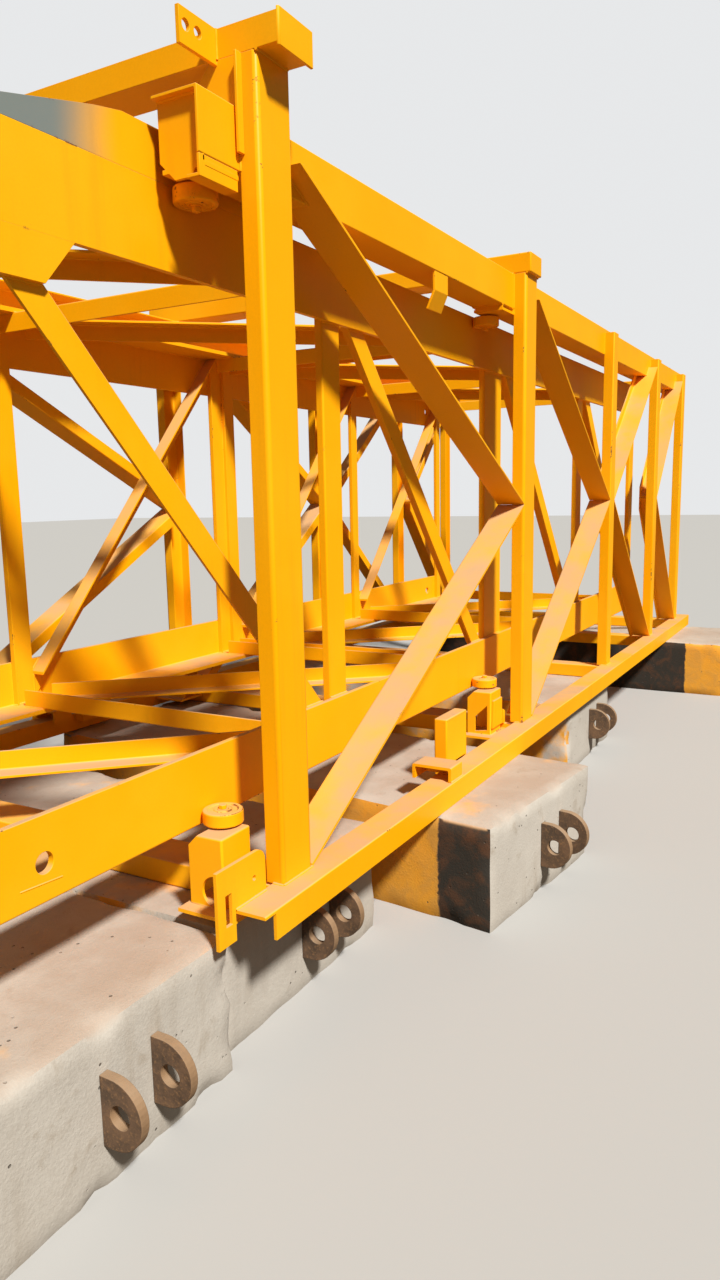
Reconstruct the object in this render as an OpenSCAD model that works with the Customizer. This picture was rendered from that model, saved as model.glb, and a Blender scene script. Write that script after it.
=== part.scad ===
// Climbing cage of a tower crane, stored lying on its side on concrete ballast
// blocks, with two bolted mast sections still nested inside it.
// Frame while building: X runs along the cage, zero at the near face of the
// first post. Y runs across it, zero at the outer face of the near posts.
// Z is up, zero on the top of the bottom chords. The last lines move the part
// so that its origin is the middle of its footprint, on the ground.

/* [Cage] */
// height of the first post, from the bottom chord up to the cap beam
post_height = 2310; // [2250:5:2420]
// distance between the outer faces of the near and the far posts
cage_width = 2322; // [2322:2:2480]
// width of the two main posts, along the cage
main_post_width = 160; // [140:2:180]
// depth of every post, across the cage
post_depth = 63; // [60:1:63]
// width of the light posts, along the cage
light_post_width = 110; // [80:2:130]
// wall of the rolled channels that posts and chords are made of
wall = 8; // [6:0.5:10]
// height of the main posts above the top chords
post_neck = 130; // [110:5:150]
// height of the top chords above the light posts
light_post_drop = 25; // [0:1:60]
// near face of the second main post
post_2_x = 2150; // [2050:10:2250]
// near face of the third post
post_3_x = 3850; // [3750:10:3950]
// near face of the fourth post
post_4_x = 5240; // [5140:10:5340]
// near face of the last post
post_5_x = 6310; // [6210:10:6400]
// height at which the two braces of a bay meet
brace_meet_z = 1100; // [1050:5:1150]
// depth of a brace, across the cage
brace_depth = 140; // [120:1:140]
// thickness of a brace and of its upturned leg
brace_wall = 10; // [8:1:12]
// height of the stiffening leg of a brace
brace_leg = 60; // [40:1:70]

/* [Chords] */
// height of the top chords
top_chord_height = 160; // [140:1:170]
// depth of the top chords, across the cage
top_chord_depth = 150; // [120:1:155]
// reach of the top chords in front of the first post
top_chord_reach = 173; // [165:1:200]
// far end of all chords
chord_end_x = 6650; // [6600:10:6700]
// height of the bottom chords
bottom_chord_height = 92; // [80:1:105]
// reach of the bottom chords beyond the outer face of the posts
bottom_chord_outer = 70; // [60:1:80]
// reach of the bottom chords in front of the first post
bottom_chord_reach = 195; // [195:1:220]
// reach of the hanging outer flange in front of the first post
outer_flange_reach = 143; // [120:1:180]
// wall of the bottom chords
chord_wall = 10; // [8:1:12]

/* [Beams and plates] */
// height of the cap beam over the first posts
cap_height = 76; // [60:1:90]
// overhang of the cap beam beyond the posts
cap_overhang = 66; // [50:1:90]
// size of the end plate around the cap beam
end_plate_margin = 8; // [4:1:12]
// height of the cap beam over the second posts
cap_2_height = 91; // [70:1:100]
// overhang of the second cap beam
cap_2_overhang = 20; // [10:1:40]
// height of the cross beam at the rear end
rear_beam_height = 110; // [80:1:130]
// height of the cross beams between the bottom chords
floor_beam_height = 84; // [60:1:92]
// thickness of lugs, gussets and brackets
plate = 12; // [8:1:14]
// height of the lug plates on the cap beam
lug_height = 90; // [80:1:100]
// reach of the lug plates in front of the cap beam
lug_reach = 150; // [120:1:180]
// diameter of the holes in the lug plates
lug_hole = 30; // [20:1:36]
// distance of the first hole from the front of the lug plate
lug_hole_inset = 26; // [22:1:40]
// distance between the two holes of a lug plate
lug_hole_pitch = 48; // [40:1:60]
// reach of the tall connection plates in front of the first post
connection_reach = 275; // [230:5:300]
// distance of the connection plates from the first post
connection_gap = 46; // [20:1:60]
// height of the tall connection plates above the bottom chord
connection_up = 138; // [100:1:150]
// radius of the upper corner of the connection plates
connection_round = 40; // [20:1:50]
// width of the slot in the connection plates
connection_slot = 29; // [20:1:36]
// near end of the open stub on the bottom chord
stub_x = 1110; // [1050:5:1150]
// length of the stub
stub_length = 120; // [80:5:140]
// near end of the box fitting behind the bottom chord
fitting_x = 1310; // [1280:5:1350]
// length of the box fitting
fitting_length = 220; // [180:5:230]
// height of the box fitting above the bottom chord
fitting_height = 206; // [150:2:220]

/* [Guide rollers] */
// radius of the guide rollers
roller_radius = 62; // [55:1:66]
// thickness of the guide rollers
roller_thick = 44; // [34:1:44]
// radius of the roller pins
roller_pin = 16; // [12:1:20]
// running clearance of the rollers on their pins
pin_gap = 1; // [0.6:0.1:1.5]
// clearance between a roller and the mast leg
roller_gap = 0.5; // [0.3:0.1:2]
// clearance between a roller and the flat side of its bracket
roller_side_gap = 5; // [3:0.5:8]
// distance of the roller pins in front of a post
roller_ahead = 40; // [35:1:45]
// distance of the rollers from the top and the bottom of the mast
roller_inset = 8; // [4:1:12]
// reach of a bracket in front of its roller pin
bracket_lead = 110; // [100:1:120]
// reach of a bracket behind its roller pin
bracket_trail = 30; // [22:1:32]
// distance of the bracket boxes from the outer face of the posts
bracket_front = 110; // [95:1:115]
// depth of the brackets, across the cage
bracket_depth = 125; // [105:1:125]
// wall of the brackets
bracket_wall = 10; // [6:1:12]
// chamfer of the brackets
bracket_chamfer = 35; // [25:1:40]
// drop of the brackets' feet below the top of the bottom chord
bracket_drop = 40; // [20:1:60]
// width of the bracket's foot plate, across the cage
foot_width = 204; // [190:1:204]

/* [Mast] */
// distance from the outer face of the posts to the mast
mast_gap = 250; // [248:1:270]
// height of the underside of the mast above the bottom chords
mast_z = 175; // [170:1:180]
// gap between the mast and the bottom of the top chords
mast_over = 23; // [10:1:40]
// near end of the mast, measured in front of the first post
mast_reach = 935; // [860:5:950]
// length of the mast's first bay
mast_first_bay = 1729; // [1700:1:1740]
// length of the mast's other bays
mast_bay = 1630; // [1600:1:1640]
// width of the leg angles
leg_width = 225; // [200:1:240]
// thickness of the leg angles
leg_wall = 20; // [14:1:24]
// width of the posts of the mast
mast_post_width = 120; // [90:1:130]
// depth of these posts, across the face of the mast
mast_post_depth = 30; // [20:1:60]
// depth of the mast's other bracing, across its face
mast_bar_depth = 80; // [60:1:90]
// width of the diagonals of the mast
mast_diag_width = 86; // [60:1:100]
// wall of the angles that the mast's bracing is made of
mast_bar_wall = 10; // [7:1:12]
// height of a diagonal's upper end above the edge of the upper leg
diag_top_tuck = 146; // [100:1:160]
// drop of a diagonal's lower end below the edge of the lower leg
diag_low_tuck = 124; // [100:1:130]
// length of the upper gussets at the near end of the mast
gusset_length = 507; // [420:1:540]
// length of the lower gussets
low_gusset_length = 150; // [140:2:300]
// height of these gussets
gusset_height = 112; // [80:1:130]
// slope of these gussets, along the mast
gusset_slope = 100; // [60:1:120]
// diameter of the connecting pin holes in the legs
leg_hole = 56; // [40:1:60]
// distance of the pin holes from the ends of a section
leg_hole_inset = 274; // [240:1:300]
// distance of the pin holes from the outer corner of a leg
leg_hole_rise = 103; // [90:1:120]
// height of the sloped plates that stand on the upper legs
ridge_height = 133; // [100:1:140]
// length of the sloped plates
ridge_length = 1060; // [900:10:1200]
// distance of the sloped plates from the near end of the mast
ridge_inset = 175; // [130:5:200]

/* [Ballast blocks] */
// length of one block along the cage
block_width = 970; // [900:5:980]
// length of the blocks beyond the width of the cage
block_over = 378; // [340:2:480]
// height of the blocks
block_height = 430; // [380:5:480]
// reach of the first block in front of the first post
block_reach = 1145; // [1100:5:1180]
// gap between the first two blocks
block_gap = 15; // [5:1:40]
// gap between the second and the third block
block_gap_2 = 132; // [100:1:160]
// near face of the fourth block
block_4_x = 3000; // [2900:10:3100]
// distance of the last block from the far end of the chords
block_5_back = 100; // [0:10:300]
// radius of the steel lifting eyes
eye_radius = 95; // [70:1:110]
// distance of an eye's middle from the end of its block
eye_stand = 35; // [20:1:60]
// thickness of the lifting eyes
eye_thick = 28; // [20:1:32]
// diameter of the hole in a lifting eye
eye_hole = 62; // [40:1:70]
// piece to show, all of them together or one by its name

/* [Hidden] */
$fn = 48;
eps = 0.01;
spare = 300;
post_x = [0, post_2_x, post_3_x, post_4_x, post_5_x];
post_w = [main_post_width, main_post_width, light_post_width, light_post_width, light_post_width];
top_chord_z = post_height - post_neck;
top_chord_low = top_chord_z - top_chord_height;
light_top = top_chord_z - light_post_drop;
post_top = [post_height, top_chord_z, light_top, light_top, light_top];
brace_top_z = top_chord_low + 90;
brace_cut_z = top_chord_low + 70;
inner_flange_y = 44;
base_z = block_height + bottom_chord_height;
mast_x = -mast_reach;
mast_len = mast_first_bay + 3 * mast_bay;
station_2 = mast_x + mast_first_bay;
mast_y = mast_gap;
mast_top = top_chord_low - mast_over;
bar_y = mast_y + leg_wall;
bar_back_y = bar_y + mast_bar_depth;
leg_hole_x = [mast_x + leg_hole_inset, mast_x + mast_len - leg_hole_inset];
station_x = [mast_x, station_2 - mast_post_width / 2, station_2 + mast_bay - mast_post_width,
    station_2 + 2 * mast_bay - mast_post_width / 2, mast_x + mast_len - mast_post_width];
station_w = [mast_post_width, mast_post_width, 2 * mast_post_width, mast_post_width, mast_post_width];
roller_y = mast_y - roller_gap - roller_radius;
roller_low_z = mast_z + roller_inset;
roller_high_z = mast_top - roller_inset - roller_thick;
roller_x = [-roller_ahead, post_2_x - roller_ahead];
bracket_back = bracket_front + bracket_depth;
cheek_drop = 19;
cheek_chamfer = 48;
cheek_hole = [30, 49, 50];
slot_inset = 35;
slot_rise = [-35, 94];
plate_hole = [57, 60, 16];
stub_y = [-62, 112];
stub_height = 62;
fitting_depth = 60;
fitting_drop = 40;
eye_offsets = [443, 622];
eye_drop = block_height / 2;
block_length = cage_width + block_over;
block_2_x = block_width + block_gap - block_reach;
block_3_x = block_2_x + block_width + block_gap_2;
block_x = [-block_reach, block_2_x, block_3_x, block_4_x, chord_end_x - block_width - block_5_back];
block_y = [70, 130, -300, 0, -560];
block_turn = [0, 0, -7, 0, 0];
x_mid = (block_x[0] + chord_end_x) / 2;
y_mid = (min(block_y) + max(block_y) + block_length) / 2;

// Places a child in the part's own frame.
module placed() {
    translate([-x_mid, -y_mid, base_z]) children();
}

// Mirrors a near piece to the far side of the cage.
module far_side() {
    translate([0, cage_width, 0]) mirror([0, 1, 0]) children();
}

module box(x0, x1, y0, y1, z0, z1) {
    translate([x0, y0, z0]) cube([x1 - x0, y1 - y0, z1 - z0]);
}

// Upright channel with its web outward and its flanges inward.
module post(i) {
    x0 = post_x[i];
    x1 = x0 + post_w[i];
    box(x0, x1, 0, wall, 0, post_top[i]);
    box(x0, x0 + wall, 0, post_depth, 0, post_top[i]);
    box(x1 - wall, x1, 0, post_depth, 0, post_top[i]);
}

// Channel with its web on the outer side. Its bottom flange starts behind the
// first roller bracket, which fills the open end.
module top_chord() {
    y0 = post_depth;
    y1 = post_depth + top_chord_depth;
    box(-top_chord_reach, chord_end_x, y0, y0 + wall, top_chord_low, top_chord_z);
    box(-top_chord_reach, chord_end_x, y0, y1, top_chord_z - wall, top_chord_z);
    box(0, chord_end_x, y0, y1, top_chord_low, top_chord_low + wall);
}

// Channel lying on its flanges, open underneath.
module bottom_chord() {
    h = bottom_chord_height;
    y0 = -bottom_chord_outer;
    y1 = inner_flange_y;
    box(-bottom_chord_reach, chord_end_x, y0, y1 - plate, -chord_wall, 0);
    box(-outer_flange_reach, chord_end_x, y0, y0 + chord_wall, -h, 0);
    box(-46, chord_end_x, y1 - plate - eps, y1, -h, 0);
}

// Brace of a bay: a flat face toward the middle of the bay and a stiffening
// leg along its inner edge. side = 1 turns the leg up and -1 turns it down.
module brace(xa, za, xb, zb, side) {
    run = norm([xb - xa, zb - za]);
    tilt = atan2(zb - za, xb - xa);
    long = run + 2 * spare;
    translate([xa, 0, za]) rotate([0, -tilt, 0]) translate([-spare, 0, 0]) {
        if (side > 0) {
            cube([long, brace_depth, brace_wall]);
            translate([0, brace_depth - brace_wall, 0]) cube([long, brace_wall, brace_leg]);
        } else {
            translate([0, 0, -brace_wall]) cube([long, brace_depth, brace_wall]);
            translate([0, brace_depth - brace_wall, -brace_leg]) cube([long, brace_wall, brace_leg]);
        }
    }
}

// Clear window of a bay between post a and post b.
module bay_window(a, z0, z1) {
    x0 = post_x[a] + post_w[a];
    x1 = post_x[a + 1];
    box(x0, x1, 0, post_depth, z0, min(z1, brace_cut_z));
    box(x0, x1, post_depth - eps, brace_depth, z0, min(z1, top_chord_low));
}

// The apex of each bay: bays 0 and 1 meet at their far post, bays 2 and 3 at
// their near post.
function apex_far(a) = a < 2;

module upper_brace(a) {
    x0 = post_x[a] + post_w[a];
    x1 = post_x[a + 1];
    intersection() {
        if (apex_far(a)) brace(x0, brace_top_z, x1, brace_meet_z, 1);
        else brace(x0, brace_meet_z, x1, brace_top_z, 1);
        bay_window(a, brace_meet_z, brace_cut_z);
    }
}

module lower_brace(a) {
    x0 = post_x[a] + post_w[a];
    x1 = post_x[a + 1];
    intersection() {
        if (apex_far(a)) brace(x0, 10, x1, brace_meet_z, -1);
        else brace(x0, brace_meet_z, x1, 10, -1);
        bay_window(a, 0, brace_meet_z);
    }
}

// Guide roller bracket under the top chord, ahead of a post. At the first
// post the chord is open, so its cheeks reach up to the top flange, and the
// front one hangs lower than its plate.
module upper_bracket(i) {
    x0 = roller_x[i] - bracket_lead;
    x1 = roller_x[i] + bracket_trail;
    reach = i == 0 ? top_chord_z - wall : top_chord_low;
    plate_z = roller_high_z + roller_thick + roller_side_gap;
    chamfer = min(bracket_chamfer, reach - plate_z);
    y0 = post_depth + (i == 0 ? wall : 0);
    y1 = bracket_back - 23;
    low = plate_z - cheek_drop;
    for (x = i == 0 ? [x1] : [x0, x1]) {
        translate([x, 0, 0]) rotate([90, 0, 90]) linear_extrude(bracket_wall)
            polygon([[y0, plate_z], [y1 - chamfer, plate_z], [y1, plate_z + chamfer],
                [y1, reach], [y0, reach]]);
    }
    if (i == 0) translate([x0, 0, 0]) rotate([90, 0, 90]) linear_extrude(bracket_wall)
        polygon([[y0, top_chord_low], [y0 + plate, top_chord_low], [y0 + 3 * plate, low],
            [y1 - cheek_chamfer, low], [y1, low + cheek_chamfer], [y1, reach], [y0, reach]]);
    box(x0, x1, post_depth, bracket_back - 30, plate_z, plate_z + plate);
    translate([roller_x[i], roller_y, roller_high_z - 4])
        cylinder(r = roller_pin, h = roller_thick + roller_side_gap + 8);
}

// Guide roller bracket on the bottom chord, a box with chamfered cheeks on a
// foot plate. Its front cheek has a cut-out, round at the first post.
module lower_bracket(i) {
    x0 = roller_x[i] - bracket_lead;
    x1 = roller_x[i] + bracket_trail;
    top = roller_low_z - roller_side_gap;
    foot = -bracket_drop;
    y1 = bracket_back - bracket_chamfer;
    for (x = [x0, x1 - bracket_wall]) {
        translate([x, 0, 0]) rotate([90, 0, 90]) linear_extrude(bracket_wall) difference() {
            polygon([[bracket_front, foot], [bracket_back, foot], [bracket_back, top - bracket_chamfer],
                [y1, top], [bracket_front, top]]);
            if (x == x0) translate([bracket_front, foot]) cheek_cut(i);
        }
    }
    box(x0, x1, bracket_front, bracket_front + bracket_wall, foot, top);
    box(x0, x1, bracket_front, y1, top - plate, top);
    box(post_x[i] - bottom_chord_reach, post_x[i], inner_flange_y, inner_flange_y + foot_width,
        foot - plate, foot);
    translate([roller_x[i], roller_y, top - plate])
        cylinder(r = roller_pin, h = roller_thick + plate + roller_side_gap);
}

// Cut-out of a cheek, from the foot of its near edge.
module cheek_cut(i) {
    if (i == 0) translate([cheek_hole[0], cheek_hole[1]]) circle(r = cheek_hole[2]);
    else polygon([[20, 150], [85, 88], [85, 14], [20, 24]]);
}

module roller(i, z) {
    translate([roller_x[i], roller_y, z]) rotate_extrude()
        polygon([[roller_pin + pin_gap, 0], [roller_radius - 6, 0], [roller_radius, 6],
            [roller_radius, roller_thick - 6], [roller_radius - 6, roller_thick],
            [roller_pin + pin_gap, roller_thick]]);
}

// Plate on the front of the cap beam with two holes.
module cap_lug() {
    y0 = 2 * post_depth + 1;
    z0 = post_height + cap_height - lug_height;
    hole_x = lug_hole_inset - lug_reach;
    difference() {
        box(-lug_reach, 0, y0, y0 + plate, z0, z0 + lug_height);
        for (x = [hole_x, hole_x + lug_hole_pitch]) {
            translate([x, y0 - 1, z0 + lug_height / 2 + 5]) rotate([-90, 0, 0])
                cylinder(d = lug_hole, h = plate + 2);
        }
    }
}

// Upright gusset between the cap beam and the top chord.
module cap_gusset() {
    y0 = post_depth;
    y1 = post_depth + top_chord_depth;
    rotate([90, 0, 90]) linear_extrude(plate)
        polygon([[y0, top_chord_z], [y1, top_chord_z], [y1, post_height - post_neck / 2],
            [y1 - post_neck / 2, post_height], [y0, post_height]]);
}

// Tall plate on the inner edge of the bottom chord's near end.
module connection_plate() {
    r = connection_round;
    up = connection_up;
    down = -bottom_chord_height;
    x0 = -connection_reach;
    x1 = -connection_gap;
    x2 = -bottom_chord_reach;
    corner = [for (a = [0 : 15 : 90]) [x1 - r + r * cos(a), up - r + r * sin(a)]];
    translate([0, inner_flange_y, 0]) rotate([90, 0, 0]) linear_extrude(plate)
        difference() {
            polygon(concat([[x0, down], [x2, down], [x2, 0], [x1, 0]], corner, [[x0, up]]));
            translate([x0 + slot_inset, slot_rise[0]]) square([connection_slot, slot_rise[1]]);
            translate([x1 - plate_hole[0], plate_hole[1]]) circle(d = plate_hole[2]);
        }
}

// Short stub that lies on the bottom chord, open toward the near end.
module chord_stub() {
    x0 = stub_x;
    x1 = stub_x + stub_length;
    z1 = stub_height;
    box(x0, x1, stub_y[0], stub_y[1], z1 - plate, z1);
    for (y = [stub_y[0], stub_y[1] - plate]) box(x0, x1, y, y + plate, 0, z1);
    box(x1 - plate, x1, stub_y[0], stub_y[1], 0, z1);
}

// Upright box fitting on the inner flange of the bottom chord.
module chord_box() {
    x1 = fitting_x + fitting_length;
    y1 = inner_flange_y + fitting_depth;
    z0 = -fitting_drop;
    box(fitting_x, x1, inner_flange_y, y1, fitting_height - plate, fitting_height);
    for (x = [fitting_x, x1 - plate]) box(x, x + plate, inner_flange_y, y1, z0, fitting_height);
    box(fitting_x, x1, y1 - plate, y1, z0, fitting_height);
}

module mast_leg() {
    box(mast_x, mast_x + mast_len, 0, leg_width, 0, leg_wall);
    difference() {
        box(mast_x, mast_x + mast_len, 0, leg_wall, 0, leg_width);
        for (x = leg_hole_x) {
            translate([x, -1, leg_hole_rise]) rotate([-90, 0, 0]) cylinder(d = leg_hole, h = leg_wall + 2);
        }
    }
}

// Upright angles of one side of the mast, behind the legs.
module side_posts() {
    z0 = mast_z + leg_wall;
    z1 = mast_top - leg_wall;
    for (i = [0 : 4], x = [station_x[i] : mast_post_width : station_x[i] + station_w[i] - 1]) {
        box(x, x + mast_post_width, bar_y, bar_y + mast_bar_wall, z0, z1);
        box(x, x + mast_bar_wall, bar_y, bar_y + mast_post_depth, z0, z1);
    }
}

// Sloping angles of one side of the mast, one in each bay. falls = true lets
// them fall away from the near end, false lets them rise.
module side_diagonals(falls) {
    high = mast_top - leg_width + diag_top_tuck;
    low = mast_z + leg_width - diag_low_tuck;
    w = mast_diag_width;
    for (i = [0 : 3]) {
        xa = station_x[i] + station_w[i];
        xb = station_x[i + 1];
        za = falls ? high : low;
        zb = falls ? low : high;
        long = norm([xb - xa, zb - za]) + 2 * spare;
        tilt = atan2(zb - za, xb - xa);
        intersection() {
            translate([xa, bar_y, za]) rotate([0, -tilt, 0]) translate([-spare, 0, -w / 2]) {
                cube([long, mast_bar_wall, w]);
                translate([0, 0, w - mast_bar_wall]) cube([long, mast_bar_depth, mast_bar_wall]);
            }
            box(xa, xb, bar_y, bar_back_y, mast_z + leg_wall, mast_top - leg_wall);
        }
    }
}

// Cross angles of the bottom face of the mast, one at each post.
module cross_bars() {
    y0 = bar_back_y;
    y1 = cage_width - bar_back_y;
    z0 = mast_z + leg_wall;
    for (i = [0 : 4], x = [station_x[i] : mast_post_width : station_x[i] + station_w[i] - 1]) {
        box(x, x + mast_post_width, y0, y1, z0, z0 + mast_bar_wall);
        box(x, x + mast_bar_wall, y0, y1, z0, z0 + mast_bar_depth);
    }
}

// Sloping angles of the bottom face of the mast, one in each bay.
module flat_diagonals() {
    y0 = bar_back_y;
    y1 = cage_width - bar_back_y;
    z0 = mast_z + leg_wall;
    w = mast_diag_width;
    for (i = [0 : 3]) {
        xa = station_x[i] + station_w[i];
        xb = station_x[i + 1];
        long = norm([xb - xa, y1 - y0]) + 2 * spare;
        intersection() {
            translate([xa, y1, z0]) rotate([0, 0, atan2(y0 - y1, xb - xa)]) translate([-spare, -w / 2, 0]) {
                cube([long, w, mast_bar_wall]);
                translate([0, w - mast_bar_wall, 0]) cube([long, mast_bar_wall, mast_bar_depth]);
            }
            box(xa, xb, y0, y1, z0, z0 + mast_bar_depth);
        }
    }
}

// Turns a piece of the mast's bottom face over, onto its top face.
module top_face() {
    translate([0, 0, mast_z + mast_top]) mirror([0, 0, 1]) children();
}

// Chamfered gusset under the upper leg and over the lower leg at one end.
module mast_gusset_pair() {
    for (up = [0, 1]) {
        z = up == 1 ? mast_top - leg_width : mast_z + leg_width;
        top = up == 1 ? z - gusset_height : z + gusset_height;
        x1 = mast_x + (up == 1 ? gusset_length : low_gusset_length);
        translate([0, bar_y, 0]) rotate([90, 0, 0]) linear_extrude(leg_wall)
            polygon([[mast_x, z], [x1, z], [x1 - gusset_slope, top], [mast_x, top]]);
    }
}

// Plate that stands on an upper leg and slopes down toward the near end.
module sloped_plate() {
    x0 = mast_x + ridge_inset;
    x1 = x0 + ridge_length;
    h = ridge_height;
    translate([0, bar_y, mast_top]) rotate([90, 0, 0]) linear_extrude(leg_wall)
        polygon([[x0, 0], [x0 + h, h / 3], [x0 + 3.2 * h, 0.87 * h], [x0 + 3.9 * h, h],
            [x1 - 0.6 * h, h], [x1, 0.7 * h], [x1, 0]]);
}

module ballast_block(i) {
    translate([block_x[i], block_y[i], -base_z]) rotate([0, 0, block_turn[i]])
        cube([block_width, block_length, block_height]);
}

// Both rows of lifting eyes of a block stand out of its two ends.
module eye_row(i, dx) {
    translate([block_x[i], block_y[i], eye_drop - base_z]) rotate([0, 0, block_turn[i]]) {
        translate([dx, 0, 0]) lifting_eye();
        translate([dx, block_length, 0]) mirror([0, 1, 0]) lifting_eye();
    }
}

// Lifting eye: a round steel plate that stands out of the end of a block.
module lifting_eye() {
    rotate([90, 0, 90]) linear_extrude(eye_thick) difference() {
        union() {
            translate([-eye_stand, 0]) circle(r = eye_radius);
            translate([-eye_stand, -eye_radius]) square([eye_stand, 2 * eye_radius]);
        }
        translate([-eye_stand - 25, 0]) circle(d = eye_hole);
        translate([0, -eye_radius - 1]) square([eye_radius * 2, 2 * eye_radius + 2]);
    }
}

yellow = [0.98, 0.72, 0.02];
grey = [0.72, 0.69, 0.64];
rust = [0.42, 0.27, 0.16];

module near_top_chord() { color(yellow) placed() top_chord(); }
module far_top_chord() { color(yellow) placed() far_side() top_chord(); }
module near_bottom_chord() { color(yellow) placed() bottom_chord(); }
module far_bottom_chord() { color(yellow) placed() far_side() bottom_chord(); }
module near_end_post() { color(yellow) placed() post(0); }
module near_main_post() { color(yellow) placed() post(1); }
module near_light_posts() { color(yellow) placed() for (i = [2 : 4]) post(i); }
module far_end_post() { color(yellow) placed() far_side() post(0); }
module far_main_post() { color(yellow) placed() far_side() post(1); }
module far_light_posts() { color(yellow) placed() far_side() for (i = [2 : 4]) post(i); }
module near_upper_braces() { color(yellow) placed() for (a = [0 : 3]) upper_brace(a); }
module near_lower_braces() { color(yellow) placed() for (a = [0 : 3]) lower_brace(a); }
module far_upper_braces() { color(yellow) placed() far_side() for (a = [0 : 3]) upper_brace(a); }
module far_lower_braces() { color(yellow) placed() far_side() for (a = [0 : 3]) lower_brace(a); }

module front_cap_beam() {
    m = end_plate_margin;
    z0 = post_height;
    z1 = post_height + cap_height;
    y0 = -cap_overhang;
    y1 = cage_width + cap_overhang;
    color(yellow) placed() {
        box(0, main_post_width - 5, y0, y1, z0, z1);
        box(0, main_post_width + m - 5, y0 - m, y0 + eps, z0 - m, z1 + m);
        box(0, main_post_width + m - 5, y1 - eps, y1 + m, z0 - m, z1 + m);
    }
}

module middle_cap_beam() {
    color(yellow) placed()
        box(post_2_x, post_2_x + main_post_width, -cap_2_overhang, cage_width + cap_2_overhang,
            top_chord_z, top_chord_z + cap_2_height);
}

module rear_cross_beam() {
    y0 = post_depth + top_chord_depth;
    color(yellow) placed()
        box(post_5_x, post_5_x + light_post_width, y0, cage_width - y0,
            top_chord_low, top_chord_low + rear_beam_height);
}

module bottom_cross_beams() {
    color(yellow) placed() for (i = [0 : 4]) {
        box(post_x[i], post_x[i] + post_w[i], inner_flange_y, cage_width - inner_flange_y,
            -bottom_chord_height, floor_beam_height - bottom_chord_height);
    }
}

module near_brackets() {
    color(yellow) placed() for (i = [0, 1]) {
        upper_bracket(i);
        lower_bracket(i);
    }
}

module far_brackets() {
    color(yellow) placed() far_side() for (i = [0, 1]) {
        upper_bracket(i);
        lower_bracket(i);
    }
}

module cap_lugs() {
    color(yellow) placed() {
        cap_lug();
        cap_gusset();
        far_side() cap_lug();
        far_side() cap_gusset();
    }
}

module connection_plates() {
    color(yellow) placed() {
        connection_plate();
        far_side() connection_plate();
    }
}

module chord_fittings() {
    color(yellow) placed() {
        chord_stub();
        chord_box();
        far_side() chord_stub();
        far_side() chord_box();
    }
}

module near_upper_roller_1() { color(yellow) placed() roller(0, roller_high_z); }
module near_lower_roller_1() { color(yellow) placed() roller(0, roller_low_z); }
module near_upper_roller_2() { color(yellow) placed() roller(1, roller_high_z); }
module near_lower_roller_2() { color(yellow) placed() roller(1, roller_low_z); }
module far_upper_roller_1() { color(yellow) placed() far_side() roller(0, roller_high_z); }
module far_lower_roller_1() { color(yellow) placed() far_side() roller(0, roller_low_z); }
module far_upper_roller_2() { color(yellow) placed() far_side() roller(1, roller_high_z); }
module far_lower_roller_2() { color(yellow) placed() far_side() roller(1, roller_low_z); }

module lower_leg() {
    translate([0, mast_y, mast_z]) mast_leg();
}

module upper_leg() {
    translate([0, mast_y, mast_top]) mirror([0, 0, 1]) mast_leg();
}

module mast_lower_near_leg() { color(yellow) placed() lower_leg(); }
module mast_upper_near_leg() { color(yellow) placed() upper_leg(); }
module mast_lower_far_leg() { color(yellow) placed() far_side() lower_leg(); }
module mast_upper_far_leg() { color(yellow) placed() far_side() upper_leg(); }

module mast_side_posts() {
    color(yellow) placed() {
        side_posts();
        far_side() side_posts();
    }
}

module mast_side_diagonals() {
    color(yellow) placed() {
        side_diagonals(true);
        far_side() side_diagonals(false);
    }
}

module mast_cross_bars() {
    color(yellow) placed() {
        cross_bars();
        top_face() cross_bars();
    }
}

module mast_flat_diagonals() {
    color(yellow) placed() {
        flat_diagonals();
        top_face() flat_diagonals();
    }
}

module mast_gussets() {
    color(yellow) placed() {
        mast_gusset_pair();
        far_side() mast_gusset_pair();
    }
}

module mast_sloped_plates() {
    color(yellow) placed() {
        sloped_plate();
        far_side() sloped_plate();
    }
}

module ballast_block_1() { color(grey) placed() ballast_block(0); }
module ballast_block_2() { color(grey) placed() ballast_block(1); }
module ballast_block_3() { color(grey) placed() ballast_block(2); }
module ballast_block_4() { color(grey) placed() ballast_block(3); }
module ballast_block_5() { color(grey) placed() ballast_block(4); }
module lifting_eyes() {
    color(rust) placed() for (i = [0 : 4], dx = eye_offsets) eye_row(i, dx);
}

near_top_chord();
far_top_chord();
near_bottom_chord();
far_bottom_chord();
near_end_post();
near_main_post();
near_light_posts();
far_end_post();
far_main_post();
far_light_posts();
near_upper_braces();
near_lower_braces();
far_upper_braces();
far_lower_braces();
front_cap_beam();
middle_cap_beam();
rear_cross_beam();
bottom_cross_beams();
near_brackets();
far_brackets();
cap_lugs();
connection_plates();
chord_fittings();
near_upper_roller_1();
near_lower_roller_1();
near_upper_roller_2();
near_lower_roller_2();
far_upper_roller_1();
far_lower_roller_1();
far_upper_roller_2();
far_lower_roller_2();
mast_upper_near_leg();
mast_lower_near_leg();
mast_upper_far_leg();
mast_lower_far_leg();
mast_side_posts();
mast_side_diagonals();
mast_cross_bars();
mast_flat_diagonals();
mast_gussets();
mast_sloped_plates();
ballast_block_1();
ballast_block_2();
ballast_block_3();
ballast_block_4();
ballast_block_5();
lifting_eyes();
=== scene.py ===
"""Looks of a tower crane's climbing cage. It lies on its side on concrete
ballast blocks, with two bolted mast sections still nested inside it."""

import math
import random

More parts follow.
